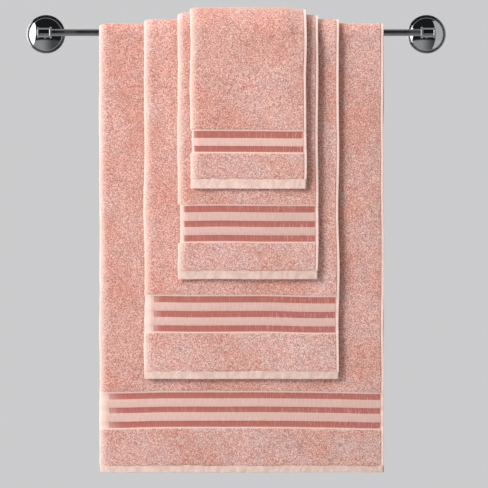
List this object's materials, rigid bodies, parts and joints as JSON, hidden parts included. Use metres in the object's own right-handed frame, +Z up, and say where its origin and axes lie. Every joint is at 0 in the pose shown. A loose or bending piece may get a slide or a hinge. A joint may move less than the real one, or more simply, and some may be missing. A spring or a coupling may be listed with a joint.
{
  "type": "bath towel set on a wall rail",
  "caption": "Terry towels in graded sizes, each folded lengthwise and hung one over another on a round chrome wall rail with domed rosettes.",
  "frame": {"origin": "on the wall plane, midway between the two wall brackets and level with the rail's axis", "axes": "+Z up, +Y into the wall so that the set faces -Y, +X along the rail to the viewer's right"},
  "size_m": [0.739, 0.1172, 0.814],
  "materials": {
    "bath_sheet_terry": "cotton terry, looped pile, matt, with flat-woven stripes near each end",
    "bath_towel_terry": "cotton terry, looped pile, matt, with flat-woven stripes near each end",
    "hand_towel_terry": "cotton terry, looped pile, matt, with flat-woven stripes near each end",
    "guest_towel_terry": "cotton terry, looped pile, matt, with flat-woven stripes near each end",
    "woven_hem": "flat-woven cotton, turned and stitched, matt",
    "chrome": "mirror-polished chrome plate",
    "zinc_steel": "dull zinc plate"
  },
  "bodies": {
    "rail": {"rail_tube": "chrome", "left_post": "chrome", "right_post": "chrome", "left_rosette": "chrome", "right_rosette": "chrome", "left_wall_bracket": "zinc_steel", "right_wall_bracket": "zinc_steel", "left_grub_screw": "zinc_steel", "right_grub_screw": "zinc_steel"},
    "bath_sheet": {"bath_sheet_cloth": "bath_sheet_terry", "bath_sheet_front_hem": "woven_hem", "bath_sheet_back_hem": "woven_hem"},
    "bath_towel": {"bath_towel_cloth": "bath_towel_terry", "bath_towel_front_hem": "woven_hem", "bath_towel_back_hem": "woven_hem"},
    "hand_towel": {"hand_towel_cloth": "hand_towel_terry", "hand_towel_front_hem": "woven_hem", "hand_towel_back_hem": "woven_hem"},
    "guest_towel": {"guest_towel_cloth": "guest_towel_terry", "guest_towel_front_hem": "woven_hem", "guest_towel_back_hem": "woven_hem"}
  },
  "joints": [
    {"name": "bath_sheet_slide", "type": "slide", "parent": "rail", "child": "bath_sheet", "axis": [1, 0, 0], "range_m": [-0.081, 0.062]},
    {"name": "bath_towel_slide", "type": "slide", "parent": "bath_sheet", "child": "bath_towel", "axis": [1, 0, 0], "range_m": [-0.075, 0.075]},
    {"name": "hand_towel_slide", "type": "slide", "parent": "bath_towel", "child": "hand_towel", "axis": [1, 0, 0], "range_m": [-0.056, 0.034]},
    {"name": "guest_towel_slide", "type": "slide", "parent": "hand_towel", "child": "guest_towel", "axis": [1, 0, 0], "range_m": [-0.02, 0.019]}
  ]
}
